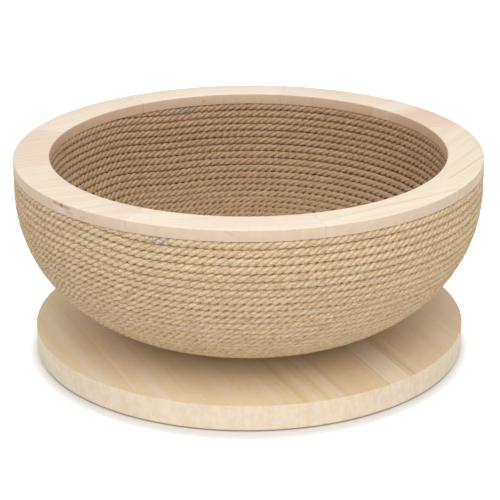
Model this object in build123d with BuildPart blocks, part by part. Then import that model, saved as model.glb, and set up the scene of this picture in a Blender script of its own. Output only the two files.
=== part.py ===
from build123d import *
import os
from itertools import accumulate
from math import cos, dist, pi, radians, sin

# Cat scratcher basket: a rope-wound bowl with a flat wooden rim, screwed to a round wooden base.
# Millimetres, +Z up, origin on the floor under the middle of the base, front towards -Y.

# Base: a round panel of edge-glued staves on thin pads
base_radius = 187.0
base_thickness = 22.0
base_top_round = 2.2
base_bottom_round = 1.2
stave_turn = 23.5  # the way across the staves, counted from +X
stave_widths = (39.0, 36.0, 34.0, 33.0, 42.0, 48.0, 22.0, 43.0, 40.0, 37.0)
pad_radius = 12.5
pad_thickness = 2.8
pad_recess = 2.0
pad_circle_radius = 160.0
pad_count = 4
pad_clearance = 0.2

# Seat: a disc between the base and the bowl
seat_radius = 80.0
seat_thickness = 11.6

# Rope: one size, wound outside and inside
rope_pitch = 6.7
rope_gap = 0.6  # left between neighbouring turns
glue_clearance = 0.3
outer_start = 248.0  # where the outer rope's first turn begins, counted from +X
inner_start = 114.0
outer_wall_turns = 20
inner_wall_turns = 18
smallest_turn_radius = 9.0
ease_turns = 12  # over which the floor's rope goes from stepped rows to a spiral
join_space = 0.6  # between the ends of two ropes that meet

# Bowl: a thick moulded shell
bowl_radius = 200.0  # over the outer rope, and of the rim
wall_thickness = 17.4
wall_straight = 19.0  # upright part of the outer wall, under the rim
outer_bend = 112.0
inner_bend = 76.8
dish_bend = 257.0
dish_lean = 70.0  # lean of the inner wall where the wide dish begins
floor_thickness = 16.5

# Rim: a flat ring of butt-jointed segments
rim_thickness = 9.8
rim_top_round = 1.2
rim_bottom_round = 0.5
rim_joints = (20.0, 48.0, 80.0, 125.0, 163.0, 201.0, 241.7, 287.0, 333.0)

# Screws from below, through base and seat into the bowl
screw_count = 4
screw_circle_radius = 55.0
screw_radius = 2.5
screw_head_radius = 4.8
screw_head_height = 2.9
screw_sink = 0.6  # depth of the head under the base's face
screw_bite = 10.0  # length inside the bowl's floor
screw_tip_length = 5.0
screw_tip_radius = 0.5
cross_width = 1.0
cross_span = 5.0
cross_depth = 1.8
screw_clearance = 0.2
thread_clearance = 0.05

# Dowels between the bowl's edge and the rim, one in each segment
dowel_radius = 3.0
dowel_in_rim = 6.5
dowel_in_bowl = 10.0
dowel_clearance = 0.1
dowel_end_round = 0.6

# Space left past the end of a dowel or a screw
hole_end_space = 0.4

# Places that follow from the sizes
rope_radius = (rope_pitch - rope_gap) / 2
rope_standoff = rope_radius + glue_clearance
base_bottom = pad_thickness - pad_recess
base_top = base_bottom + base_thickness
bowl_bottom = base_top + seat_thickness
outer_line_radius = bowl_radius - rope_pitch / 2
shell_outer_radius = outer_line_radius - rope_standoff
shell_inner_radius = shell_outer_radius - wall_thickness
inner_line_radius = shell_inner_radius - rope_standoff
rim_inner_radius = inner_line_radius - rope_pitch / 2
outer_bend_height = bowl_bottom + outer_bend
outer_flat_radius = shell_outer_radius - outer_bend
rim_bottom = outer_bend_height + wall_straight
floor_height = bowl_bottom + floor_thickness
lean = radians(dish_lean)
dish_edge_height = floor_height + dish_bend * (1 - sin(lean))
inner_bend_height = dish_edge_height + inner_bend * sin(lean)
inner_bend_middle = shell_inner_radius - inner_bend
dish_edge_radius = inner_bend_middle + inner_bend * cos(lean)
floor_radius = dish_edge_radius - dish_bend * cos(lean)
diagonal = stave_turn + 45
screw_bottom = base_bottom + screw_sink
screw_top = bowl_bottom + screw_bite

parts_folder = "parts"
os.makedirs(parts_folder, exist_ok=True)


def save(piece, name):
    """Labels a finished piece and writes its file."""
    piece.label = name
    export_step(piece, f"{parts_folder}/{name}.step")


# Screw and the hole that it is driven into

with BuildPart() as screw:
    with BuildSketch(Plane.XZ):
        with BuildLine():
            Polyline(
                (0, screw_bottom),
                (screw_head_radius, screw_bottom),
                (screw_radius, screw_bottom + screw_head_height),
                (screw_radius, screw_top - screw_tip_length),
                (screw_tip_radius, screw_top),
                (0, screw_top),
                close=True,
            )
        make_face()
    revolve(axis=Axis.Z)
    with BuildSketch(Plane.XY.offset(screw_bottom)):
        Rectangle(cross_span, cross_width)
        Rectangle(cross_width, cross_span)
    extrude(amount=cross_depth, mode=Mode.SUBTRACT)

with BuildPart() as screws:
    with PolarLocations(screw_circle_radius, screw_count, start_angle=diagonal):
        add(screw.part)
save(screws.part, "mounting_screws")

with BuildPart() as screw_hole:
    with BuildSketch(Plane.XZ):
        with BuildLine():
            Polyline(
                (0, base_bottom),
                (screw_head_radius + screw_clearance, base_bottom),
                (screw_head_radius + screw_clearance, screw_bottom),
                (screw_radius + screw_clearance, screw_bottom + screw_head_height),
                (screw_radius + screw_clearance, bowl_bottom),
                (screw_radius + thread_clearance, bowl_bottom),
                (screw_radius + thread_clearance, screw_top + hole_end_space),
                (0, screw_top + hole_end_space),
                close=True,
            )
        make_face()
    revolve(axis=Axis.Z)


def cut_screw_holes():
    """Takes the screws' holes out of the piece being made."""
    with PolarLocations(screw_circle_radius, screw_count, start_angle=diagonal):
        add(screw_hole.part, mode=Mode.SUBTRACT)


# Base panel and its staves

with BuildPart() as panel:
    with BuildSketch(Plane.XZ) as panel_section:
        with Locations((0, base_bottom)):
            Rectangle(base_radius, base_thickness, align=Align.MIN)
        rim_corners = panel_section.vertices().group_by(Axis.X)[-1].sort_by(Axis.Z)
        fillet(rim_corners[-1], base_top_round)
        fillet(rim_corners[0], base_bottom_round)
    revolve(axis=Axis.Z)
    with BuildSketch(Plane.XY.offset(base_bottom)):
        with PolarLocations(pad_circle_radius, pad_count, start_angle=diagonal):
            Circle(pad_radius + pad_clearance)
    extrude(amount=pad_recess, mode=Mode.SUBTRACT)
    cut_screw_holes()

# The staves fill the panel: at another base radius each is wider or narrower by the same share
stave_fit = 2 * base_radius / sum(stave_widths)
stave_edges = [stave_fit * edge - base_radius for edge in accumulate(stave_widths, initial=0.0)]
across = radians(stave_turn)
for number, (near, far) in enumerate(zip(stave_edges, stave_edges[1:]), start=1):
    middle = (near + far) / 2
    place = Location((middle * cos(across), middle * sin(across), base_top), (0, 0, stave_turn))
    with BuildPart() as stave:
        add(panel.part)
        with Locations(place):
            Box(far - near, 2 * base_radius, 2 * base_thickness, mode=Mode.INTERSECT)
    save(stave.part, f"base_stave_{number}")

with BuildPart() as pads:
    with BuildSketch():
        with PolarLocations(pad_circle_radius, pad_count, start_angle=diagonal):
            Circle(pad_radius)
    extrude(amount=pad_thickness)
save(pads.part, "foot_pads")

with BuildPart() as seat:
    with BuildSketch(Plane.XY.offset(base_top)):
        Circle(seat_radius)
    extrude(amount=seat_thickness)
    cut_screw_holes()
save(seat.part, "seat_disc")

# Dowels, each in the middle of a rim segment

segments = list(zip(rim_joints, [*rim_joints[1:], rim_joints[0] + 360]))
dowel_circle_radius = shell_outer_radius - wall_thickness / 2
dowel_places = [
    (dowel_circle_radius * cos(angle), dowel_circle_radius * sin(angle))
    for angle in (radians(start + end) / 2 for start, end in segments)
]


def cut_dowel_holes(height, depth):
    """Takes the dowels' holes out of the piece being made, from a height up or down."""
    with BuildSketch(Plane.XY.offset(height)) as holes:
        with Locations(*dowel_places):
            Circle(dowel_radius + dowel_clearance)
    extrude(holes.sketch, amount=depth, mode=Mode.SUBTRACT)


with BuildPart() as dowels:
    with BuildSketch(Plane.XY.offset(rim_bottom - dowel_in_bowl)):
        with Locations(*dowel_places):
            Circle(dowel_radius)
    extrude(amount=dowel_in_bowl + dowel_in_rim)
    chamfer(dowels.edges().filter_by(GeomType.CIRCLE), dowel_end_round)
save(dowels.part, "rim_dowels")

# Rim ring

for number, (start, end) in enumerate(segments, start=1):
    turn = radians(start)
    section_plane = Plane((0, 0, 0), x_dir=(cos(turn), sin(turn), 0), z_dir=(sin(turn), -cos(turn), 0))
    with BuildPart() as segment:
        with BuildSketch(section_plane) as rim_section:
            with Locations((rim_inner_radius, rim_bottom)):
                Rectangle(bowl_radius - rim_inner_radius, rim_thickness, align=Align.MIN)
            corners = rim_section.vertices().group_by(Axis.Z)
            fillet(corners[-1], rim_top_round)
            fillet(corners[0], rim_bottom_round)
        revolve(axis=Axis.Z, revolution_arc=end - start)
        cut_dowel_holes(rim_bottom, dowel_in_rim + hole_end_space)
    save(segment.part, f"rim_segment_{number}")

# Bowl shell

with BuildPart() as shell:
    with BuildSketch(Plane.XZ):
        with BuildLine():
            Line((0, bowl_bottom), (outer_flat_radius, bowl_bottom))
            CenterArc((outer_flat_radius, outer_bend_height), outer_bend, -90, 90)
            Polyline(
                (shell_outer_radius, outer_bend_height),
                (shell_outer_radius, rim_bottom),
                (shell_inner_radius, rim_bottom),
                (shell_inner_radius, inner_bend_height),
            )
            CenterArc((inner_bend_middle, inner_bend_height), inner_bend, 0, -dish_lean)
            CenterArc((floor_radius, floor_height + dish_bend), dish_bend, -dish_lean, dish_lean - 90)
            Polyline((floor_radius, floor_height), (0, floor_height), (0, bowl_bottom))
        make_face()
    revolve(axis=Axis.Z)
    cut_screw_holes()
    cut_dowel_holes(rim_bottom, -dowel_in_bowl - hole_end_space)
save(shell.part, "bowl_shell")

# Rope windings

first_row_height = rim_bottom - rope_pitch / 2
level_stops = (0.0, 0.5, 0.75)  # shares of a turn at which the rope's arcs meet
arcs_in_turn = 2 * len(level_stops)
straight_end = 2 * rope_radius

# Stretches of (lean at the start, lean at the end, length), with the lean counted from straight down
outer_stretches = [
    (0.0, 0.0, first_row_height - outer_bend_height),
    (0.0, pi / 2, (outer_bend + rope_standoff) * pi / 2),
    (pi / 2, pi / 2, outer_flat_radius),
]
inner_stretches = [
    (0.0, 0.0, first_row_height - inner_bend_height),
    (0.0, lean, (inner_bend - rope_standoff) * lean),
    (lean, pi / 2, (dish_bend - rope_standoff) * (pi / 2 - lean)),
    (pi / 2, pi / 2, floor_radius),
]


def row_place(stretches, line_radius, rows):
    """Radius and height of the rope's middle so many rows down from the rim."""
    left = rows * rope_pitch
    radius = line_radius
    height = first_row_height
    for start_lean, end_lean, length in stretches:
        part = min(left, length)
        reached = start_lean + (end_lean - start_lean) * part / length
        if start_lean == end_lean:
            radius -= part * sin(start_lean)
            height -= part * cos(start_lean)
        else:
            bend = length / (end_lean - start_lean)
            radius -= bend * (cos(start_lean) - cos(reached))
            height -= bend * (sin(reached) - sin(start_lean))
        left -= part
    return radius, height


def rows_to(stretches, line_radius, end_radius, last_step):
    """Whole rows that fit before the rope's middle comes nearer to the axis than end_radius."""
    rows = 0
    while row_place(stretches, line_radius, rows + 1 + last_step)[0] >= end_radius:
        rows += 1
    return rows


def rope_stop(stretches, line_radius, start_angle, hand, turn, rows):
    """Point and direction of the rope after so many turns, so many rows down."""
    angle = radians(start_angle) + hand * 2 * pi * turn
    radius, height = row_place(stretches, line_radius, rows)
    point = Vector(radius * cos(angle), radius * sin(angle), height)
    way = Vector(-hand * sin(angle), hand * cos(angle), 0)
    return point, way


def biarc(start, start_way, end, end_way):
    """Two arcs that leave start along start_way and reach end along end_way."""
    span = end - start
    spread = 2 * (1 - start_way.dot(end_way))
    along = span.dot(start_way + end_way)
    reach = (-along + (along**2 + spread * span.dot(span)) ** 0.5) / spread
    near = start + start_way * reach
    far = end - end_way * reach
    middle = (near + far) * 0.5
    first = TangentArc(start, middle, tangent=start_way)
    second = TangentArc(middle, end, tangent=far - near)
    return [first, second]


def least_gap(arcs, ends):
    """Least distance between neighbouring turns, less the rope's diameter."""
    steps = 8
    points = [tuple(arc @ (step / steps)) for arc in arcs for step in range(steps)]
    one_turn = steps * arcs_in_turn
    between_turns = min(
        dist(here, there)
        for place, here in enumerate(points)
        for there in points[place + one_turn // 2 : place + 2 * one_turn]
    )
    first_end, last_end = ends
    half_turn = arcs_in_turn // 2
    to_ends = [first_end.distance_to(arc) for arc in arcs[half_turn : 3 * half_turn]]
    to_ends += [last_end.distance_to(arc) for arc in arcs[-3 * half_turn : -half_turn]]
    return min(between_turns, *to_ends) - 2 * rope_radius


def wind(name, winding, first_turn, last_turn, ease_from, last_step):
    """A rope wound from first_turn to last_turn, its last row shifted by a share of a row.

    Each turn lies level for three quarters and steps to the next row in its last quarter.
    After ease_from the step spreads out, until the rope climbs steadily as in a flat spiral.
    """
    stretches, line_radius, start_angle, hand = winding
    places = []
    for turn in range(first_turn, last_turn):
        ease = min(1.0, max(0.0, (turn - ease_from) / ease_turns))
        for share in level_stops:
            places.append((turn + share, turn + share * ease))
    if first_turn:
        radius, _ = row_place(stretches, line_radius, first_turn)
        join_share = (2 * straight_end + join_space) / (2 * pi * radius)
        places[0] = (first_turn + join_share, first_turn)
    places.append((last_turn, last_turn + last_step))
    stops = [rope_stop(stretches, line_radius, start_angle, hand, *place) for place in places]
    (start, start_way), (end, end_way) = stops[0], stops[-1]
    tail = start - start_way * straight_end
    with BuildPart() as rope:
        with BuildLine():
            first_end = Line(tail, start)
            arcs = []
            for here, there in zip(stops, stops[1:]):
                arcs += biarc(*here, *there)
            last_end = Line(end, end + end_way * straight_end)
        with BuildSketch(Plane(origin=tail, z_dir=start_way)):
            Circle(rope_radius)
        sweep()
    length = sum(arc.length for arc in arcs) + 2 * straight_end
    share = rope.part.volume / (pi * rope_radius**2 * length)
    gap = least_gap(arcs, (first_end, last_end))
    tightest = min(arc.radius for arc in arcs)
    print(f"{name}: {last_turn - first_turn} turns, {length / 1000:.2f} m, least gap {gap:.2f},")
    print(f"  tightest bend {tightest:.1f}, volume over section times length {share:.4f}")
    save(rope.part, name)


outer_winding = (outer_stretches, outer_line_radius, outer_start, 1)
inner_winding = (inner_stretches, inner_line_radius, inner_start, -1)
seat_step = 0.1  # share of a row that the last turn keeps away from the one before
floor_step = 0.5
outer_rows = rows_to(outer_stretches, outer_line_radius, seat_radius + rope_standoff, seat_step)
inner_rows = rows_to(inner_stretches, inner_line_radius, smallest_turn_radius, 0)
wind("outer_rope_wall", outer_winding, 0, outer_wall_turns, outer_rows, 0)
wind("outer_rope_underside", outer_winding, outer_wall_turns, outer_rows, outer_rows, seat_step)
wind("inner_rope_wall", inner_winding, 0, inner_wall_turns, inner_wall_turns, 0)
wind("inner_rope_floor", inner_winding, inner_wall_turns, inner_rows, inner_wall_turns, floor_step)
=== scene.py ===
import bpy
import numpy as np
from mathutils import Matrix, Vector


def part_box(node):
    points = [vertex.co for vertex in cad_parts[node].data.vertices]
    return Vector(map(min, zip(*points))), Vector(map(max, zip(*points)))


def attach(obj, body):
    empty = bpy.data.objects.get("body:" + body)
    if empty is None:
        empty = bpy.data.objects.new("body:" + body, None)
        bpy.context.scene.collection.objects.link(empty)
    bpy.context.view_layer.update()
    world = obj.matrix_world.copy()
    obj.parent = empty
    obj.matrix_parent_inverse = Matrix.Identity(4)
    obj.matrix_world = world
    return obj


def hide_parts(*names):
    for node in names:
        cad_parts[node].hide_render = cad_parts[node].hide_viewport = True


# Cat scratcher basket: a bowl wound with jute rope, a segmented wooden rim, a round wooden base.
# Metres, +Z up, origin on the floor under the middle of the base, front towards -Y.

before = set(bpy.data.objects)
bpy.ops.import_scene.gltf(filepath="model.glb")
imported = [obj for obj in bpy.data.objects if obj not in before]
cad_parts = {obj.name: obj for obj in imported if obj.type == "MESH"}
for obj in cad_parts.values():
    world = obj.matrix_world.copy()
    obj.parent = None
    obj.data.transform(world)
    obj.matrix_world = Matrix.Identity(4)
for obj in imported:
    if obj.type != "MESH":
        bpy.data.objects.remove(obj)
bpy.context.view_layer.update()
mm = 0.001
degree = np.pi / 180


# Meshes

# A mesh object from arrays: points (n, 3), four-sided faces (m, 4) and three-sided faces (k, 3).
def addMesh(name, points, quads, tris, material, smooth=True):
    points = np.asarray(points, np.float32).reshape(-1, 3)
    quads = np.asarray(quads, np.int32).reshape(-1, 4)
    tris = np.asarray(tris, np.int32).reshape(-1, 3)
    corners = np.concatenate([quads.ravel(), tris.ravel()])
    starts = np.concatenate([np.arange(len(quads)) * 4, len(quads) * 4 + np.arange(len(tris)) * 3])
    mesh = bpy.data.meshes.new(name)
    mesh.vertices.add(len(points))
    mesh.vertices.foreach_set("co", points.ravel())
    mesh.loops.add(len(corners))
    mesh.loops.foreach_set("vertex_index", corners.astype(np.int32))
    mesh.polygons.add(len(starts))
    mesh.polygons.foreach_set("loop_start", starts.astype(np.int32))
    mesh.polygons.foreach_set("use_smooth", np.full(len(starts), smooth))
    mesh.update(calc_edges=True)
    mesh.materials.append(material)
    made = bpy.data.objects.new(name, mesh)
    bpy.context.scene.collection.objects.link(made)
    return made


# Four-sided faces of a grid of rows x columns points, its columns closed into a loop if it goes around.
def gridFaces(rows, columns, around=True):
    row = np.arange(rows - 1)[:, None]
    column = np.arange(columns if around else columns - 1)[None, :]
    after = (column + 1) % columns
    here, there = row * columns, (row + 1) * columns
    return np.stack([here + column, here + after, there + after, there + column], -1).reshape(-1, 4)


# A fan of three-sided faces from the middle point to a loop of points that starts at first.
def capFaces(first, columns, middle, turned):
    column = np.arange(columns)
    here, after = first + column, first + (column + 1) % columns
    middles = np.full(columns, middle)
    return np.stack([middles, here, after] if turned else [middles, after, here], -1)


# Stores an array of one number, or of three, for each point of a mesh.
def setAttribute(made, name, values, kind):
    attribute = made.data.attributes.new(name, kind, "POINT")
    key = "value" if kind == "FLOAT" else "vector"
    attribute.data.foreach_set(key, np.asarray(values, np.float32).ravel())


# Ties a finished piece to the root body and hides the nodes that it stands for.
def dress(made, slot, *nodes):
    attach(made, "root")
    if nodes:
        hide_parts(*nodes)


# Material nodes

# One shader node. A value that is another node's output gets a link.
def addNode(tree, kind, inputs=(), **settings):
    made = tree.nodes.new("ShaderNode" + kind)
    for key, value in settings.items():
        setattr(made, key, value)
    for key, value in dict(inputs).items():
        if isinstance(value, bpy.types.NodeSocket):
            tree.links.new(value, made.inputs[key])
        else:
            made.inputs[key].default_value = value
    return made


def calc(tree, operation, first, second=0.0, third=0.0):
    return addNode(tree, "Math", {0: first, 1: second, 2: third}, operation=operation).outputs[0]


def vectorCalc(tree, operation, first, second):
    made = addNode(tree, "VectorMath", {0: first, 1: second}, operation=operation)
    return made.outputs["Value" if operation in ("DOT_PRODUCT", "DISTANCE") else "Vector"]


# A smooth step from one number to another while a value passes from low to high.
def toRange(tree, value, low, high, newLow=0.0, newHigh=1.0):
    inputs = {"Value": value, "From Min": low, "From Max": high, "To Min": newLow, "To Max": newHigh}
    return addNode(tree, "MapRange", inputs, interpolation_type="SMOOTHSTEP").outputs["Result"]


def blendColour(tree, amount, first, second, kind="MIX"):
    made = addNode(tree, "Mix", data_type="RGBA", blend_type=kind)
    for key, value in (("Factor_Float", amount), ("A_Color", first), ("B_Color", second)):
        socket = next(each for each in made.inputs if each.identifier == key)
        if isinstance(value, bpy.types.NodeSocket):
            tree.links.new(value, socket)
        else:
            socket.default_value = value if key == "Factor_Float" else (*value, 1.0)
    return next(each for each in made.outputs if each.identifier == "Result_Color")


# Noise on a vector whose three directions are stretched, as grain and fibres are.
def noise(tree, vector, scale, stretch=(1, 1, 1), shift=(0, 0, 0), detail=2.0, roughness=0.5):
    size = tuple(scale * each for each in stretch)
    placed = addNode(tree, "Mapping", {"Vector": vector, "Location": shift, "Scale": size}).outputs[0]
    inputs = {"Vector": placed, "Scale": 1.0, "Detail": detail, "Roughness": roughness}
    return addNode(tree, "TexNoise", inputs).outputs["Fac"]


# A material with one shader whose plain values are set on its own sockets.
def startMaterial(name, **constants):
    material = bpy.data.materials.new(name)
    material.use_nodes = True
    tree = material.node_tree
    shader = tree.nodes["Principled BSDF"]
    for key, value in constants.items():
        shader.inputs[key.replace("_", " ")].default_value = value
    return material, tree, shader


def setBump(tree, shader, height, strength, distance):
    bump = addNode(tree, "Bump", {"Height": height, "Strength": strength, "Distance": distance})
    tree.links.new(bump.outputs[0], shader.inputs["Normal"])


# Wood

wood = {
    "bandWidth": 9 * mm,  # across the grain
    "streakWidth": 2.2 * mm,
    "fibreWidth": 0.55 * mm,
    "poreWidth": 0.30 * mm,
    "poreLength": 6 * mm,
    "sideLineWidth": 1.2 * mm,
    "pore": (0.50, 0.34, 0.20),
    "knot": (0.30, 0.13, 0.08),
    "bleached": (0.90, 0.82, 0.70),
    "inside": (0.985, 0.92, 0.85),  # painted light: warm light bounced from the rope, on a face that looks at the bowl's axis
    "mottleWidth": 6 * mm,
    "knotRing": 2.4 * mm,
}
rimWood = {
    "pale": (0.905, 0.80, 0.67),
    "mid": (0.87, 0.745, 0.585),
    "deep": (0.70, 0.51, 0.32),
    "pink": (0.84, 0.645, 0.52),
    # Upright faces: partly the wood's own edge tone, partly painted shade, much darker than the top.
    "side": (0.62, 0.47, 0.325),
    "sidePinkAndShade": (0.57, 0.43, 0.305),
    "sideToneAndShadeShare": 0.70,
    "sideLines": 0.10,
}
baseWood = {
    "pale": (0.90, 0.75, 0.515),
    "mid": (0.875, 0.71, 0.465),
    "deep": (0.72, 0.53, 0.315),
    "pink": (0.80, 0.60, 0.39),
    # Upright faces: partly the wood's own edge tone, partly painted shade for how those faces take the light.
    "side": (0.81, 0.72, 0.565),
    "sidePinkAndShade": (0.76, 0.64, 0.50),
    "sideToneAndShadeShare": 0.78,
    "sideLines": 0.16,
}


# Pale hardwood. The place is turned to run along the grain, and noise stretched that way gives bands,
# streaks, fibres and pores. Growth rings are a sine of the place across the grain, narrowed by a power.
# marks are (kind, where, size, strength): knot, stain and spot lie on an upright face at a point, the
# other kinds at a distance across the grain. A knot bends the grain round it and has rings of its own.
def makeWood(name, tones, look, seed, marks=()):
    material, tree, shader = startMaterial(name, Specular_IOR_Level=0.32)
    place = addNode(tree, "TexCoord").outputs["Object"]
    turn = (0, 0, -look["grain"] * degree)
    turned = addNode(tree, "Mapping", {"Vector": place, "Rotation": turn}).outputs[0]
    shift = tuple(np.random.default_rng(seed).uniform(-40, 40, 3))

    sway = noise(tree, turned, 22, (0.35, 1, 1), shift, 1.0)  # the grain's slow waves
    lift = calc(tree, "MULTIPLY", calc(tree, "SUBTRACT", sway, 0.5), look["sway"] * mm)
    for kind, where, size, _ in marks:
        if kind == "knot":
            near = toRange(tree, vectorCalc(tree, "DISTANCE", place, where), 0.0, 3 * size, 1.0, 0.0)
            lift = calc(tree, "MULTIPLY_ADD", near, 1.5 * size, lift)
    bent = vectorCalc(tree, "ADD", turned, addNode(tree, "CombineXYZ", {"Y": lift}).outputs[0])
    across = addNode(tree, "SeparateXYZ", {0: bent}).outputs[1]
    straight = addNode(tree, "SeparateXYZ", {0: turned}).outputs[1]

    bands = noise(tree, bent, 1 / wood["bandWidth"], (0.05, 1, 0.8), shift, 2.0, 0.55)
    streaks = noise(tree, bent, 1 / wood["streakWidth"], (0.03, 1, 0.8), shift, 2.0, 0.6)
    fibres = noise(tree, bent, 1 / wood["fibreWidth"], (0.025, 1, 1), shift, 1.0)
    poreStretch = (wood["poreWidth"] / wood["poreLength"], 1, 1)
    pores = toRange(tree, noise(tree, bent, 1 / wood["poreWidth"], poreStretch, shift, 0.0), 0.66, 0.74)
    cloud = noise(tree, bent, 11, (0.5, 1.2, 1), shift, 1.0)

    tone = calc(tree, "MULTIPLY_ADD", bands, 0.55, calc(tree, "MULTIPLY", streaks, 0.3))
    tone = calc(tree, "MULTIPLY_ADD", fibres, 0.15, tone)
    colour = blendColour(tree, toRange(tree, tone, 0.40, 0.60), tones["pale"], tones["mid"])
    colour = blendColour(tree, toRange(tree, tone, 0.50, 0.72, 0.0, look["depth"]), colour, tones["deep"])
    colour = blendColour(tree, toRange(tree, cloud, 0.40, 0.66, 0.0, look["pink"]), colour, tones["pink"])
    colour = blendColour(tree, calc(tree, "MULTIPLY", pores, 0.25), colour, wood["pore"])

    wobble = calc(tree, "MULTIPLY", bands, 5.0)
    swing = calc(tree, "MULTIPLY_ADD", across, 2 * np.pi / (look["spacing"] * mm), wobble)
    ring = calc(tree, "POWER", calc(tree, "MULTIPLY_ADD", calc(tree, "SINE", swing), 0.5, 0.5), 5.0)
    ring = calc(tree, "MULTIPLY", ring, toRange(tree, cloud, 0.35, 0.6, 0.35 * look["rings"], look["rings"]))
    colour = blendColour(tree, ring, colour, tones["deep"])

    # Upright faces take a side tone that is partly the wood's own and partly painted shade, for how those
    # faces take the light.
    normal = addNode(tree, "NewGeometry").outputs["Normal"]
    up = addNode(tree, "SeparateXYZ", {0: normal}).outputs[2]
    side = toRange(tree, calc(tree, "ABSOLUTE", up), 0.35, 0.9, 1.0, 0.0)
    # Painted light: faces that look at the bowl's axis are tinted warm, standing in for light bounced from
    # the rope.
    inside = toRange(tree, vectorCalc(tree, "DOT_PRODUCT", normal, place), -0.10, 0.0, 1.0, 0.0)
    mottle = noise(tree, place, 1 / wood["mottleWidth"], (1, 1, 0.7), shift, 3.0, 0.6)
    sideLine = noise(tree, place, 1 / wood["sideLineWidth"], (1, 1, 0.06), shift, 2.0)
    sideLine = toRange(tree, sideLine, 0.45, 0.75, 0.0, tones["sideLines"])
    sideToneAndShade = blendColour(tree, toRange(tree, mottle, 0.42, 0.6), tones["side"], tones["sidePinkAndShade"])
    sideToneAndShade = blendColour(tree, sideLine, sideToneAndShade, tones["deep"])
    colour = blendColour(tree, 1.0, colour, look["shade"], "MULTIPLY")
    colour = blendColour(tree, calc(tree, "MULTIPLY", side, tones["sideToneAndShadeShare"]), colour, sideToneAndShade)
    colour = blendColour(tree, inside, colour, wood["inside"], "MULTIPLY")

    inks = {"knot": wood["knot"], "stain": wood["knot"], "pale": wood["bleached"], "deep": tones["deep"]}
    faded = calc(tree, "MULTIPLY_ADD", side, -0.7, 1.0)
    for kind, where, size, strength in marks:
        onSide = kind in ("knot", "stain", "spot")
        if onSide:
            away = vectorCalc(tree, "DISTANCE", place, where)
        else:
            line = straight if kind == "joint" else across
            away = calc(tree, "ABSOLUTE", calc(tree, "SUBTRACT", line, where))
        near = toRange(tree, away, 0.25 * size, size, strength, 0.0)
        near = calc(tree, "MULTIPLY", near, side if onSide else faded)
        if kind == "knot":
            swing = calc(tree, "MULTIPLY", away, 2 * np.pi / wood["knotRing"])
            reach = toRange(tree, away, size, 4 * size, 0.6, 0.0)
            wave = calc(tree, "MULTIPLY_ADD", calc(tree, "SINE", swing), 0.5, 0.5)
            reach = calc(tree, "MULTIPLY", reach, wave)
            colour = blendColour(tree, calc(tree, "MULTIPLY", reach, side), colour, wood["bleached"])
        colour = blendColour(tree, near, colour, inks.get(kind, wood["pore"]))
    tree.links.new(colour, shader.inputs["Base Color"])
    tree.links.new(toRange(tree, tone, 0.3, 0.7, 0.50, 0.62), shader.inputs["Roughness"])
    height = calc(tree, "SUBTRACT", calc(tree, "MULTIPLY", fibres, 0.5), pores)
    setBump(tree, shader, height, 0.22, 0.10 * mm)
    return material


# Rim: nine butt-jointed segments, each its own board with its own grain

rim = {
    "joints": (20.0, 48.0, 80.0, 125.0, 163.0, 201.0, 241.7, 287.0, 333.0),
    "topRound": 1.3 * mm,
    "bottomRound": 0.6 * mm,
    "jointBevel": 0.07 * mm,
    "step": 0.6,  # degrees from one cross-section to the next
    "roundSteps": 5,
    "sway": 9,  # millimetres that the grain swings to the side
    "outer": 200.0 * mm,
    "inner": 169.2 * mm,
}
rimLow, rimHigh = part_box("rim_segment_1")
rim["bottom"], rim["top"] = rimLow.z, rimHigh.z

rimLooks = [
    dict(zip(("grain", "depth", "pink", "shade", "rings", "spacing"), look))
    for look in (
        (34.5, 0.2, 0.6, (0.96, 0.905, 0.86), 0.06, 9),
        (150, 0.16, 0.4, (1.0, 0.99, 0.98), 0.06, 11),
        # Segments 3 and 4 lie at the back; their paler shade is partly painted light, where the front lamps
        # reach less.
        (187, 0.14, 0.3, (1.03, 1.04, 1.05), 0.05, 12),
        (222, 0.18, 0.55, (1.02, 1.01, 1.0), 0.08, 9),
        (25, 0.18, 0.4, (0.98, 0.97, 0.965), 0.26, 7.6),
        (22, 0.2, 0.3, (0.985, 0.97, 0.96), 0.2, 8.2),
        (4, 0.14, 0.2, (1.0, 0.99, 0.985), 0.07, 9),
        (33, 0.16, 0.1, (1.0, 1.0, 0.98), 0.08, 10),
        (61, 0.2, 0.1, (0.985, 0.985, 0.95), 0.12, 12),
    )
]


def onRing(angle, radius, height):
    return radius * np.cos(angle * degree), radius * np.sin(angle * degree), height


# Spots in a row from one (angle, height) on the rim's outer face to another, half a size apart, so that
# they run into one another.
def stroke(kind, first, last, size, strength):
    count = int(abs(last[0] - first[0]) * degree * rim["outer"] / (0.5 * size * mm)) + 2
    places = zip(np.linspace(first[0], last[0], count), np.linspace(first[1], last[1], count))
    return [(kind, onRing(angle, rim["outer"], height * mm), size * mm, strength) for angle, height in places]


rimMarks = {
    1: [("pale", 24 * mm, 25 * mm, 0.75)],
    3: [("spot", onRing(104.5, rim["inner"], 169.5 * mm), 2.6 * mm, 0.5)],
    6: [
        ("knot", onRing(223.0, rim["outer"], 172.8 * mm), 2.6 * mm, 0.9),
        *stroke("stain", (220.0, 173.2), (225.8, 172.4), 2.1, 0.30),
        *stroke("spot", (224.4, 169.8), (226.8, 168.4), 2.0, 0.30),
        ("spot", onRing(229.5, rim["outer"], 168.2 * mm), 1.3 * mm, 0.9),
        ("spot", onRing(230.4, rim["outer"], 168.8 * mm), 1.3 * mm, 0.9),
    ],
    7: [
        *stroke("spot", (265.0, 173.6), (266.7, 171.4), 1.1, 0.12),
        *stroke("spot", (267.2, 174.2), (269.4, 172.2), 1.1, 0.12),
    ],
    8: [("line", -183 * mm, 0.7 * mm, 0.35)],
    9: [("line", -184 * mm, 0.8 * mm, 0.55), ("line", -171 * mm, 0.6 * mm, 0.25)],
}


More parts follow.
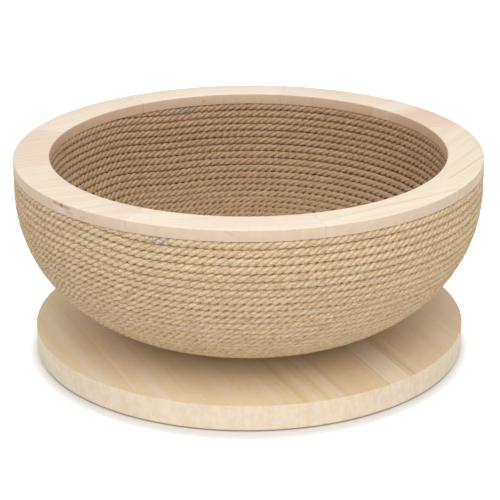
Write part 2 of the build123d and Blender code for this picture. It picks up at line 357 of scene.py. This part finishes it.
# Outline of a rounded rectangle, counter-clockwise: four quarter circles joined by straight sides.
def roundedBox(low, high, bottomRound, topRound, steps):
    (left, bottom), (right, top) = low, high
    turn = np.linspace(0, np.pi / 2, steps)
    corners = (
        (right - bottomRound, bottom + bottomRound, bottomRound, -np.pi / 2),
        (right - topRound, top - topRound, topRound, 0.0),
        (left + topRound, top - topRound, topRound, np.pi / 2),
        (left + bottomRound, bottom + bottomRound, bottomRound, np.pi),
    )
    x = np.concatenate([middle + size * np.cos(turn + start) for middle, _, size, start in corners])
    y = np.concatenate([middle + size * np.sin(turn + start) for _, middle, size, start in corners])
    return x, y


# Each segment carries the rounded outline along an arc, drawn in a little at both ends.
def makeRim():
    joints = rim["joints"]
    low, high = (rim["inner"], rim["bottom"]), (rim["outer"], rim["top"])
    x, z = roundedBox(low, high, rim["bottomRound"], rim["topRound"], rim["roundSteps"])
    middleX, middleZ = (low[0] + high[0]) / 2, (low[1] + high[1]) / 2
    for number, start in enumerate(joints, start=1):
        end = joints[number % len(joints)] + (360 if number == len(joints) else 0)
        bevelTurn = rim["jointBevel"] / middleX / degree
        angles = np.linspace(start + bevelTurn, end - bevelTurn, int((end - start) / rim["step"]) + 2)
        angles = np.concatenate([[start], angles, [end]])[:, None] * degree
        drawn = np.zeros((len(angles), 1))
        drawn[0] = drawn[-1] = rim["jointBevel"]
        radius = x - drawn * np.sign(x - middleX)
        height = z - drawn * np.sign(z - middleZ)
        points = np.stack([radius * np.cos(angles), radius * np.sin(angles), height], -1)
        rows, columns = points.shape[:2]
        middles = np.array([onRing(start, middleX, middleZ), onRing(end, middleX, middleZ)])
        count = rows * columns
        quads = gridFaces(rows, columns)[:, ::-1]
        tris = np.concatenate([
            capFaces(count, columns, count + 2 * columns, True),
            capFaces(count + columns, columns, count + 2 * columns + 1, False),
        ])
        allPoints = np.concatenate([points.reshape(-1, 3), points[0], points[-1], middles])
        look = {"sway": rim["sway"], **rimLooks[number - 1]}
        material = makeWood(f"rim wood {number}", rimWood, look, 100 + number, rimMarks.get(number, ()))
        made = addMesh(f"rimSegment{number}", allPoints, quads, tris, material)
        dress(made, "rim_wood", f"rim_segment_{number}")


makeRim()
print("rim made")

# Base: ten staves of one panel, grain along the joints, which lie so far across from the middle

base = {
    "grain": 23.5 - 90,
    "sway": 8,
    "looks": [
        dict(zip(("depth", "pink", "shade", "rings", "spacing"), look))
        for look in (
            (0.16, 0.25, (0.99, 0.98, 0.97), 0.05, 13),
            (0.12, 0.22, (1.02, 1.02, 1.02), 0.03, 15),
            (0.14, 0.2, (1.01, 1.0, 0.98), 0.04, 11),
            (0.12, 0.3, (1.01, 1.0, 0.98), 0.05, 14),
            (0.26, 0.12, (1.0, 0.98, 0.94), 0.16, 9),
            (0.14, 0.6, (0.97, 0.93, 0.89), 0.08, 16),
            (0.05, 0.05, (0.99, 1.03, 1.12), 0.03, 12),
            # Staves 8 to 10, on the right, are darkened partly as painted shade, evening out the lamps'
            # stronger light on that side.
            (0.15, 0.4, (0.94, 0.93, 0.92), 0.08, 13),
            (0.14, 0.35, (0.94, 0.92, 0.91), 0.1, 10),
            (0.14, 0.3, (0.94, 0.92, 0.9), 0.06, 12),
        )
    ],
    "marks": {
        1: [("pale", -165 * mm, 7 * mm, 0.3)],
        2: [("joint", -148 * mm, 0.5 * mm, 0.2), ("pale", -130 * mm, 8 * mm, 0.40)],
        3: [("pale", -82 * mm, 7 * mm, 0.25)],
        4: [("pale", -50 * mm, 6 * mm, 0.25)],
        5: [
            ("pale", -20 * mm, 3.5 * mm, 0.4),
            ("deep", -30 * mm, 3 * mm, 0.4),
            ("deep", -11 * mm, 2 * mm, 0.4),
        ],
        6: [
            ("pale", -1 * mm, 4 * mm, 0.55),
            ("deep", 5 * mm, 3 * mm, 0.35),
            ("joint", 45 * mm, 1.1 * mm, 0.55),
        ],
        8: [
            ("joint", 67 * mm, 1.0 * mm, 0.45),
            ("deep", 72 * mm, 3.0 * mm, 0.75),
            ("pale", 79 * mm, 3 * mm, 0.3),
        ],
        9: [("joint", 110 * mm, 0.6 * mm, 0.3)],
    },
}


def setNodeMaterial(nodeName, material):
    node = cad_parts[nodeName]
    node.data.materials.clear()
    node.data.materials.append(material)


for number, look in enumerate(base["looks"], start=1):
    look = {"grain": base["grain"], "sway": base["sway"], **look}
    material = makeWood(f"base wood {number}", baseWood, look, 200 + number, base["marks"].get(number, ()))
    setNodeMaterial(f"base_stave_{number}", material)

hiddenWood = {"depth": 0.4, "pink": 0.1, "shade": (0.84, 0.83, 0.80), "rings": 0.2, "spacing": 10, "sway": 8}
setNodeMaterial("seat_disc", makeWood("seat wood", baseWood, {"grain": 12, **hiddenWood}, 301))
setNodeMaterial("rim_dowels", makeWood("dowel wood", baseWood, {"grain": 0, **hiddenWood}, 302))
print("base made")


# Shell, screws and pads

# Pressed fibre: brown with coarse mottling.
def makeShellMaterial():
    material, tree, shader = startMaterial("moulded fibre", Roughness=0.85, Specular_IOR_Level=0.2)
    place = addNode(tree, "TexCoord").outputs["Object"]
    mottle = noise(tree, place, 420, detail=3.0)
    colour = blendColour(tree, mottle, (0.16, 0.10, 0.055), (0.34, 0.23, 0.13))
    tree.links.new(colour, shader.inputs["Base Color"])
    setBump(tree, shader, mottle, 0.5, 0.4 * mm)
    return material


# Zinc-plated steel, finely brushed.
def makeSteel():
    material, tree, shader = startMaterial("zinc steel", Metallic=1.0)
    place = addNode(tree, "TexCoord").outputs["Object"]
    fine = noise(tree, place, 2600, (1, 0.2, 1), detail=1.0)
    colour = blendColour(tree, fine, (0.55, 0.55, 0.53), (0.72, 0.72, 0.70))
    tree.links.new(colour, shader.inputs["Base Color"])
    tree.links.new(toRange(tree, fine, 0.3, 0.7, 0.28, 0.42), shader.inputs["Roughness"])
    return material


# Pressed felt: fine tangled fibres.
def makeFelt():
    material, tree, shader = startMaterial("felt", Roughness=0.95, Specular_IOR_Level=0.1)
    place = addNode(tree, "TexCoord").outputs["Object"]
    tangle = noise(tree, place, 2200, detail=4.0, roughness=0.7)
    colour = blendColour(tree, tangle, (0.05, 0.04, 0.032), (0.12, 0.10, 0.08))
    tree.links.new(colour, shader.inputs["Base Color"])
    setBump(tree, shader, tangle, 0.6, 0.3 * mm)
    return material


setNodeMaterial("bowl_shell", makeShellMaterial())
setNodeMaterial("mounting_screws", makeSteel())
setNodeMaterial("foot_pads", makeFelt())

# Rope

rope = {
    "pitch": 6.7 * mm,
    "outside": 3.55 * mm,  # furthest from the rope's middle
    "strandMiddle": 1.66 * mm,
    "lay": 20.0 * mm,  # one full turn of a strand
    "around": 24,
    "ringStep": 2.1 * mm,
    "squeeze": 3.33 * mm,  # where a row is pressed flat by the next
    "backFlat": 3.25 * mm,
    "stepShare": 0.07,  # of a turn, in which a row steps to the next
    "easeTurns": 12,
    "samplesPerTurn": 1500,
    "endShare": 0.93,  # of a step, by which the rope's end lies before its first full row
    "endThin": 0.55,  # of its depth, at that end
    "frayMiddle": 6 * mm,
    "frayLength": 11 * mm,
    "wander": 0.12 * mm,
    "quickWander": 0.10 * mm,
    "bulge": 0.10 * mm,
    "sizeChange": 0.025,
    "layChange": 0.9,  # radians
}
bowl = {
    "outerLine": 196.65 * mm,
    "innerLine": 172.55 * mm,
    "standoff": 3.35 * mm,
    "topRow": 162.05 * mm,
    "outerBend": 112.0 * mm,
    "outerBendHeight": 146.4 * mm,
    "outerFlat": 81.3 * mm,
    "innerBend": 76.8 * mm,
    "innerBendHeight": 138.6 * mm,
    "dishBend": 257.0 * mm,
    "dishLean": 70 * degree,
    "floorRadius": 37.5 * mm,
}
quarter = np.pi / 2
outerBend = bowl["outerBend"] + bowl["standoff"]
innerBend = bowl["innerBend"] - bowl["standoff"]
dishBend = bowl["dishBend"] - bowl["standoff"]
windings = {
    "outer": {
        "line": bowl["outerLine"],
        "side": 1,
        "hand": 1,
        "start": 248.0,
        "turns": 28,
        "easeFrom": 28,
        "grooves": 0.75,  # of the depth that round strands would leave between them
        "square": 3.4,  # rows pressed together: 2 is a round section, more is squarer
        "stretches": (
            (0.0, 0.0, bowl["topRow"] - bowl["outerBendHeight"]),
            (0.0, quarter, outerBend * quarter),
            (quarter, quarter, bowl["outerFlat"]),
        ),
    },
    "inner": {
        "line": bowl["innerLine"],
        "side": -1,
        "hand": -1,
        "start": 114.0,
        "turns": 34,
        "easeFrom": 18,
        "grooves": 0.95,
        "square": 3.0,
        "stretches": (
            (0.0, 0.0, bowl["topRow"] - bowl["innerBendHeight"]),
            (0.0, bowl["dishLean"], innerBend * bowl["dishLean"]),
            (bowl["dishLean"], quarter, dishBend * (quarter - bowl["dishLean"])),
            (quarter, quarter, bowl["floorRadius"]),
        ),
    },
}


# Radius, height and lean of the rope's middle, so many rows down: upright, then arcs, then flat.
def rowPlace(winding, rows):
    left = rows * rope["pitch"]
    radius = np.full_like(rows, winding["line"])
    height = bowl["topRow"] - rope["pitch"] * np.minimum(rows, 0)
    lean = np.zeros_like(rows)
    for startLean, endLean, length in winding["stretches"]:
        part = np.clip(left, 0, length)
        reached = startLean + (endLean - startLean) * part / length
        if startLean == endLean:
            radius = radius - part * np.sin(startLean)
            height = height - part * np.cos(startLean)
        else:
            bend = length / (endLean - startLean)
            radius = radius - bend * (np.cos(startLean) - np.cos(reached))
            height = height - bend * (np.sin(reached) - np.sin(startLean))
        lean = np.where(left > 0, reached, lean)
        left = left - length
    return radius, height, lean


# Smooth random numbers from -1 to 1 along a length: random values joined by cosine steps.
def slowNoise(along, length, seed):
    values = np.random.default_rng(seed).uniform(-1, 1, int(along.max() / length) + 3)
    place = along / length
    whole = place.astype(int)
    share = (1 - np.cos(np.pi * (place - whole))) / 2
    return values[whole] * (1 - share) + values[whole + 1] * share


# Rows down at so many turns: level, with a short step at the turn's end; a steady spiral where it eases.
def rowsAt(winding, turns):
    whole = np.floor(turns)
    part = turns - whole
    step = np.clip((part - 1 + rope["stepShare"]) / rope["stepShare"], 0, 1)
    step = step * step * (3 - 2 * step)
    ease = np.clip((whole - winding["easeFrom"]) / rope["easeTurns"], 0, 1)
    return np.where(turns < 0, (step - 1) / 2, whole + (1 - ease) * step + ease * part)


# The rope's first end is pressed into the wedge over the first step: its share of the full height there.
def taper(turns):
    step = np.clip(turns / rope["stepShare"] + 1, 0, 1)
    return step * step * (3 - 2 * step)


# The rope's middle line at even steps, with its three directions: along, out of the bowl's wall, and up.
def ropeLine(winding, seed):
    firstTurn = -rope["endShare"] * rope["stepShare"]
    fine = np.linspace(firstTurn, winding["turns"], winding["turns"] * rope["samplesPerTurn"])

    def placed(turns):
        radius, height, lean = rowPlace(winding, rowsAt(winding, turns))
        angle = winding["start"] * degree + winding["hand"] * 2 * np.pi * turns
        return radius, height, lean, angle

    radius, height, lean, angle = placed(fine)
    line = np.stack([radius * np.cos(angle), radius * np.sin(angle), height], -1)
    length = np.concatenate([[0], np.cumsum(np.linalg.norm(np.diff(line, axis=0), axis=1))])
    along = np.arange(0, length[-1], rope["ringStep"])
    turns = np.interp(along, length, fine)
    radius, height, lean, angle = placed(turns)
    outward = np.stack([np.cos(angle), np.sin(angle), np.zeros_like(angle)], -1)
    upward = np.zeros_like(outward)
    upward[:, 2] = 1
    cosLean, sinLean = np.cos(lean)[:, None], np.sin(lean)[:, None]
    normal = winding["side"] * (cosLean * outward - sinLean * upward)
    rise = sinLean * outward + cosLean * upward
    middle = radius[:, None] * outward + height[:, None] * upward
    wave = rope["wander"] * slowNoise(along, 46 * mm, seed)
    wave = wave + rope["quickWander"] * slowNoise(along, 17 * mm, seed + 1)
    bulge = rope["bulge"] * slowNoise(along, 60 * mm, seed + 2)
    middle = middle + wave[:, None] * rise + bulge[:, None] * normal
    way = np.gradient(middle, axis=0)
    way /= np.linalg.norm(way, axis=1)[:, None]
    rise -= (rise * way).sum(1)[:, None] * way
    rise /= np.linalg.norm(rise, axis=1)[:, None]
    return {"along": along, "turns": turns, "middle": middle, "way": way, "normal": normal, "rise": rise}


# Distance from the rope's middle of three round strands laid together, at each turn round it.
def strandOutline(turn, grooves=1.0):
    strand = rope["outside"] - rope["strandMiddle"]
    third = 2 * np.pi / 3
    away = (turn + third / 2) % third - third / 2
    middle = rope["strandMiddle"]
    distance = middle * np.cos(away) + np.sqrt(strand**2 - (middle * np.sin(away)) ** 2)
    return rope["outside"] - grooves * (rope["outside"] - distance)


# Points of the laid rope's skin, ring by ring, and what its material reads.
def ropeSurface(line, winding, seed):
    along = line["along"]
    count = rope["around"]
    own = np.arange(count) * 2 * np.pi / count
    layTurn = 2 * np.pi * along / rope["lay"] + rope["layChange"] * slowNoise(along, 120 * mm, seed + 3)
    turn = own[None, :] + layTurn[:, None]
    size = 1 + rope["sizeChange"] * slowNoise(along, 33 * mm, seed + 4)
    away = strandOutline(own, winding["grooves"])[None, :] * size[:, None]
    power = winding["square"]
    away = away / (np.abs(np.cos(turn)) ** power + np.abs(np.sin(turn)) ** power) ** (1 / power)
    height = taper(line["turns"])[:, None]
    outward = np.maximum(away * np.cos(turn), -rope["backFlat"])
    outward = outward * (rope["endThin"] + (1 - rope["endThin"]) * height)
    upward = np.clip(away * np.sin(turn), -rope["squeeze"], rope["squeeze"]) * height
    points = (
        line["middle"][:, None]
        + outward[..., None] * line["normal"][:, None]
        + upward[..., None] * line["rise"][:, None]
    )
    yarn = np.stack([outward, upward, np.broadcast_to(along[:, None], turn.shape)], -1)
    third = count // 3
    strandOf = (np.arange(count) + third // 2) // third % 3
    slowTones = np.stack([slowNoise(along, 55 * mm, seed + 10 + strand) for strand in range(3)], -1)
    quickTones = np.stack([slowNoise(along, 14 * mm, seed + 20 + strand) for strand in range(3)], -1)
    tones = (0.65 * slowTones + 0.35 * quickTones)[:, strandOf]
    # How far out on its strand a point lies; the material paints shade in the grooves from it.
    low, high = strandOutline(np.array([np.pi / 3, 0.0]))
    exposed = np.broadcast_to((strandOutline(own) - low) / (high - low), turn.shape)
    startAlong = np.interp(0, line["turns"], along)
    fray = np.exp(-(((along - startAlong - rope["frayMiddle"]) / rope["frayLength"]) ** 2))
    fray = np.broadcast_to(fray[:, None], turn.shape)
    look = np.stack([exposed, tones * 0.5 + 0.5, fray], -1)
    return points, yarn, look


# Jute: strands of pale to brown fibres, with painted shade in the grooves between strands, paler and greyer
# where the end frays.
def makeJute(name, shade):
    material, tree, shader = startMaterial(
        name, Roughness=0.9, Specular_IOR_Level=0.15, Sheen_Weight=0.12, Sheen_Roughness=0.5
    )
    yarn = addNode(tree, "Attribute", attribute_name="yarn").outputs["Vector"]
    look = addNode(tree, "Attribute", attribute_name="look").outputs["Vector"]
    parts = addNode(tree, "SeparateXYZ", {0: look}).outputs
    fibres = noise(tree, yarn, 1 / (0.32 * mm), (1, 1, 0.055), detail=2.0, roughness=0.6)
    yarns = noise(tree, yarn, 1 / (1.1 * mm), (1, 1, 0.09), detail=1.0)
    patch = noise(tree, yarn, 1 / (26 * mm), (0.2, 0.2, 1), detail=1.0)
    greyer = noise(tree, yarn, 1 / (40 * mm), (0.2, 0.2, 1), (7, 3, 0), 1.0)
    tufts = noise(tree, yarn, 1 / (1.5 * mm), (1, 1, 0.7), (3, 1, 8), 2.0, 0.7)
    tone = calc(tree, "MULTIPLY_ADD", fibres, 0.40, calc(tree, "MULTIPLY", yarns, 0.30))
    tone = calc(tree, "MULTIPLY_ADD", tufts, 0.30, tone)
    colour = blendColour(tree, toRange(tree, tone, 0.39, 0.61), (0.46, 0.315, 0.17), (0.88, 0.695, 0.45))
    strandTone = toRange(tree, parts[1], 0.1, 0.9, 0.0, 0.35)
    colour = blendColour(tree, strandTone, colour, (0.88, 0.71, 0.48))
    colour = blendColour(tree, toRange(tree, patch, 0.5, 0.75, 0.0, 0.35), colour, (0.60, 0.45, 0.27))
    colour = blendColour(tree, toRange(tree, greyer, 0.52, 0.72, 0.0, 0.40), colour, (0.70, 0.59, 0.46))
    # Painted shade: darker where a point lies deep in a groove between strands.
    paintedGrooveShade = toRange(tree, parts[0], 0.0, 0.38, 0.55, 0.0)
    colour = blendColour(tree, paintedGrooveShade, colour, (0.34, 0.215, 0.11))
    loose = blendColour(tree, toRange(tree, tufts, 0.45, 0.6), (0.40, 0.32, 0.27), (0.80, 0.70, 0.63))
    colour = blendColour(tree, calc(tree, "MULTIPLY", parts[2], 0.85), colour, loose)
    # The shade multiplier: near white for the outer rope, painted shade of the bowl's inside for the inner
    # rope.
    colour = blendColour(tree, 1.0, colour, shade, "MULTIPLY")
    tree.links.new(colour, shader.inputs["Base Color"])
    setBump(tree, shader, tone, 0.8, 0.35 * mm)
    return material


# Skin of the rope between two rings, with a cap at each end.
def makeRopePiece(name, line, surface, first, last, material, node):
    points, yarn, look = surface
    rings = slice(first, last + 1)
    part = points[rings].reshape(-1, 3)
    count = rope["around"]
    rows = last - first + 1
    ends = np.concatenate([points[first], points[last], line["middle"][[first, last]]])
    allPoints = np.concatenate([part, ends])
    total = rows * count
    tris = np.concatenate([
        capFaces(total, count, total + 2 * count, False),
        capFaces(total + count, count, total + 2 * count + 1, True),
    ])
    made = addMesh(name, allPoints, gridFaces(rows, count), tris, material)
    for key, values in (("yarn", yarn), ("look", look)):
        ofMiddles = values[[first, last]].mean(1)
        stored = np.concatenate([values[rings].reshape(-1, 3), values[first], values[last], ofMiddles])
        setAttribute(made, key, stored, "FLOAT_VECTOR")
    dress(made, "jute_rope", node)


hairs = {
    "radius": 0.07 * mm,
    "length": (4 * mm, 13 * mm),
    "joints": 4,
    "sides": 3,
    "lift": (0.1 * mm, 1.1 * mm),
    "rootDepth": 0.25 * mm,
    "tipShare": 0.25,  # of the thickness at the root
    "strayCounts": {"outer": (8500, (0.0, 24)), "inner": (5000, (0.0, 30))},
    "frayCount": 260,
    "frayLengths": (3 * mm, 9 * mm),
}


# Fine loose fibres: each a three-sided rod, bent away from the rope along an arc and tapering to its tip.
def makeHairs(name, roots, ways, lifts, sides, lengths, material):
    share = np.linspace(0, 1, hairs["joints"])[None, :, None]
    ways = ways / np.linalg.norm(ways, axis=1)[:, None]
    line = (
        roots[:, None]
        + ways[:, None] * lengths[:, None, None] * share
        + lifts[:, None] * np.sin(share * 2.2)
        + sides[:, None] * share**2
    )
    along = np.gradient(line, axis=1)
    along /= np.linalg.norm(along, axis=2)[..., None]
    first = np.cross(along, (0.31, 0.52, 0.79))
    first /= np.linalg.norm(first, axis=2)[..., None]
    second = np.cross(along, first)
    turn = np.arange(hairs["sides"]) * 2 * np.pi / hairs["sides"]
    size = hairs["radius"] * (1 - (1 - hairs["tipShare"]) * share)[..., None]
    points = line[:, :, None] + size * (
        first[:, :, None] * np.cos(turn)[:, None] + second[:, :, None] * np.sin(turn)[:, None]
    )
    count = len(roots)
    each = hairs["joints"] * hairs["sides"]
    faces = gridFaces(hairs["joints"], hairs["sides"])
    quads = (np.arange(count) * each)[:, None, None] + faces[None]
    lastRing = (hairs["joints"] - 1) * hairs["sides"]
    tips = (np.arange(count) * each)[:, None] + np.array([lastRing, lastRing + 1, lastRing + 2])
    bottoms = (np.arange(count) * each)[:, None] + np.array([2, 1, 0])
    made = addMesh(name, points, quads, np.concatenate([tips, bottoms]), material)
    dress(made, "jute_rope")


def makeHairMaterial():
    material, tree, shader = startMaterial("jute hair", Roughness=0.8, Specular_IOR_Level=0.2)
    place = addNode(tree, "TexCoord").outputs["Object"]
    tone = noise(tree, place, 160, detail=1.0)
    colour = blendColour(tree, tone, (0.46, 0.33, 0.18), (0.86, 0.72, 0.50))
    tree.links.new(colour, shader.inputs["Base Color"])
    return material


# Hairs spread over the rope's outward half, lying nearly along it.
def strayHairs(name, line, count, turnRange, material, seed):
    draw = np.random.default_rng(seed)
    low, high = np.searchsorted(line["turns"], turnRange)
    ring = draw.integers(low, high, count)
    turn = draw.uniform(-1.15, 1.15, count)
    way, normal, rise = (line[key][ring] for key in ("way", "normal", "rise"))
    outward = normal * np.cos(turn)[:, None] + rise * np.sin(turn)[:, None]
    across = np.cross(way, outward)
    roots = line["middle"][ring] + outward * (rope["outside"] - hairs["rootDepth"])
    slant = draw.normal(0.25, 0.45, count)
    sign = draw.choice([-1.0, 1.0], count)
    ways = sign[:, None] * (way * np.cos(slant)[:, None] + across * np.sin(slant)[:, None])
    lifts = outward * draw.uniform(*hairs["lift"], count)[:, None]
    lengths = draw.uniform(*hairs["length"], count) * draw.uniform(0.5, 1.0, count)
    sides = across * draw.normal(0, 1.6 * mm, count)[:, None] - outward * 0.4 * mm
    makeHairs(name, roots, ways, lifts, sides, lengths, material)


# A brush of fibres at the rope's cut end.
def frayedEnd(name, line, count, material, seed):
    draw = np.random.default_rng(seed)
    ring = np.searchsorted(line["turns"], 0) + draw.integers(-3, 9, count)
    turn = draw.uniform(-np.pi, np.pi, count)
    away = np.sqrt(draw.uniform(0.05, 1, count)) * (rope["outside"] - 0.4 * mm)
    way, normal, rise = (line[key][ring] for key in ("way", "normal", "rise"))
    outward = normal * np.cos(turn)[:, None] + rise * np.sin(turn)[:, None]
    roots = line["middle"][ring] + outward * away[:, None]
    leaning = normal * draw.normal(0.05, 0.16, count)[:, None]
    leaning = leaning + rise * draw.normal(0, 0.14, count)[:, None]
    ways = leaning - way
    lifts = normal * draw.uniform(0, 0.6 * mm, count)[:, None]
    sides = rise * draw.normal(-1.2 * mm, 2.2 * mm, count)[:, None]
    lengths = draw.uniform(*hairs["frayLengths"], count)
    makeHairs(name, roots, ways, lifts, sides, lengths, material)


jute = {
    "outer": makeJute("outer jute", (0.975, 0.96, 0.925)),
    # The inner rope is the same jute; its darker, redder multiplier is painted shade for the bowl's inside.
    "inner": makeJute("inner jute with painted shade", (0.775, 0.69, 0.635)),
}
hairMaterial = makeHairMaterial()
ropePieces = {
    "outer": (
        ("outerRopeTop", -1, 6.45, "outer_rope_wall"),
        ("outerRopeMiddle", 6.45, 12.95, "outer_rope_wall"),
        ("outerRopeLower", 12.95, 20, "outer_rope_wall"),
        ("outerRopeUnderside", 20, 28, "outer_rope_underside"),
    ),
    "inner": (
        ("innerRopeTop", -1, 6.2, "inner_rope_wall"),
        ("innerRopeMiddle", 6.2, 12.2, "inner_rope_wall"),
        ("innerRopeLower", 12.2, 18, "inner_rope_wall"),
        ("innerRopeFloor", 18, 34, "inner_rope_floor"),
    ),
}
for seed, (side, pieces) in zip((40, 70), ropePieces.items()):
    line = ropeLine(windings[side], seed)
    surface = ropeSurface(line, windings[side], seed)
    for name, fromTurn, toTurn, node in pieces:
        first, last = np.searchsorted(line["turns"], (fromTurn, toTurn))
        last = min(last, len(line["turns"]) - 1)
        makeRopePiece(name, line, surface, int(first), int(last), jute[side], node)
    count, turnRange = hairs["strayCounts"][side]
    strayHairs(f"{side}RopeHairs", line, count, turnRange, hairMaterial, seed + 5)
    frayedEnd(f"{side}RopeFray", line, hairs["frayCount"], hairMaterial, seed + 6)
    print(side, "rope made,", round(float(line["along"][-1]), 2), "m")

# Stage, light and camera

stage = {
    "floorSize": 6.0,
    "floorColour": (0.76, 0.76, 0.76),
    "floorGlow": 0.85,
    "glowAndPaintedShadowMiddle": (0.0, -12 * mm, 0.0),  # set 12 mm forward, so the painted shadow round the base is deepest in front
    "glowAndPaintedShadowRadii": (0.178, 0.206),  # the floor turns to plain white from the base outwards; nearer in, no glow is added, which paints the shadow's reach round the base
    "worldStrength": 0.62,
    "lampAim": (0, 0, 0.1),
    "lamps": {
        "top": {"place": (0.08, -1.0, 1.75), "width": 1.6, "height": 1.4, "power": 16.5},
        "front": {"place": (0.12, -2.0, 0.75), "width": 2.2, "height": 1.0, "power": 9.5},
    },
}


# A pale floor that the camera sees as white, apart from a ring round the base left without glow: the real
# shadow shows there, and the ring's size and place paint its reach.
def makeStage():
    material, tree, shader = startMaterial("stage floor", Roughness=1.0, Specular_IOR_Level=0.0)
    shader.inputs["Base Color"].default_value = (*stage["floorColour"], 1.0)
    rays = addNode(tree, "LightPath").outputs
    seen = calc(tree, "MAXIMUM", rays["Is Camera Ray"], rays["Is Glossy Ray"])
    away = vectorCalc(tree, "DISTANCE", addNode(tree, "TexCoord").outputs["Object"], stage["glowAndPaintedShadowMiddle"])
    # Painted shadow: the glow is left out within a ring round the base, set forward so the shadow is deepest
    # in front.
    whiterBeyondPaintedShadow = toRange(tree, away, *stage["glowAndPaintedShadowRadii"], 0.0, stage["floorGlow"])
    glow = addNode(tree, "Emission", {"Strength": calc(tree, "MULTIPLY", seen, whiterBeyondPaintedShadow)})
    both = addNode(tree, "AddShader", {0: shader.outputs[0], 1: glow.outputs[0]})
    output = next(each for each in tree.nodes if each.type == "OUTPUT_MATERIAL")
    tree.links.new(both.outputs[0], output.inputs["Surface"])
    half = stage["floorSize"] / 2
    points = [(-half, -half, 0), (half, -half, 0), (half, half, 0), (-half, half, 0)]
    floor = addMesh("stageFloor", points, [(0, 1, 2, 3)], [], material, False)


# Even white light from all round; the camera sees plain white.
def makeWorld():
    world = bpy.data.worlds.new("studio")
    bpy.context.scene.world = world
    world.use_nodes = True
    tree = world.node_tree
    background = tree.nodes["Background"]
    rays = addNode(tree, "LightPath").outputs
    seen = calc(tree, "MAXIMUM", rays["Is Camera Ray"], rays["Is Glossy Ray"])
    more = calc(tree, "MULTIPLY", seen, 1 - stage["worldStrength"])
    strength = calc(tree, "ADD", stage["worldStrength"], more)
    background.inputs["Color"].default_value = (1.0, 1.0, 1.0, 1.0)
    tree.links.new(strength, background.inputs["Strength"])


# A softbox at a place, turned to the bowl.
def addSoftbox(name, place, width, height, power):
    data = bpy.data.lights.new(name, "AREA")
    data.shape = "RECTANGLE"
    data.size, data.size_y = width, height
    data.energy = power
    made = bpy.data.objects.new(name, data)
    bpy.context.scene.collection.objects.link(made)
    made.location = place
    aim = Vector(stage["lampAim"]) - Vector(place)
    made.rotation_euler = aim.to_track_quat("-Z", "Y").to_euler()


# The photograph's view: 1.5 m from the middle of the bowl, 21 degrees above the floor, a long lens.
def makeCamera():
    view = {
        "target": (0.937 * mm, 0.0, 82.04 * mm),
        "distance": 1.5,
        "elevation": 21.129 * degree,
        "roll": -0.239 * degree,
        "focalPixels": 1716.58,
        "framePixels": 500,
        "sensor": 36.0,
    }
    up, flat = np.sin(view["elevation"]), np.cos(view["elevation"])
    back = np.array([0.0, -flat, up])
    right = np.array([1.0, 0.0, 0.0])
    above = np.array([0.0, up, flat])
    cosRoll, sinRoll = np.cos(view["roll"]), np.sin(view["roll"])
    turnedRight = cosRoll * right + sinRoll * above
    turnedAbove = -sinRoll * right + cosRoll * above
    place = np.array(view["target"]) + view["distance"] * back
    data = bpy.data.cameras.new("photo camera")
    data.sensor_width = view["sensor"]
    data.lens = view["focalPixels"] * view["sensor"] / view["framePixels"]
    camera = bpy.data.objects.new("photo camera", data)
    bpy.context.scene.collection.objects.link(camera)
    matrix = np.eye(4)
    matrix[:3, 0], matrix[:3, 1], matrix[:3, 2], matrix[:3, 3] = turnedRight, turnedAbove, back, place
    camera.matrix_world = Matrix(matrix.tolist())
    bpy.context.scene.camera = camera


makeStage()
makeWorld()
for name, lamp in stage["lamps"].items():
    addSoftbox(name, **lamp)
makeCamera()
bpy.context.scene.view_settings.view_transform = "Standard"
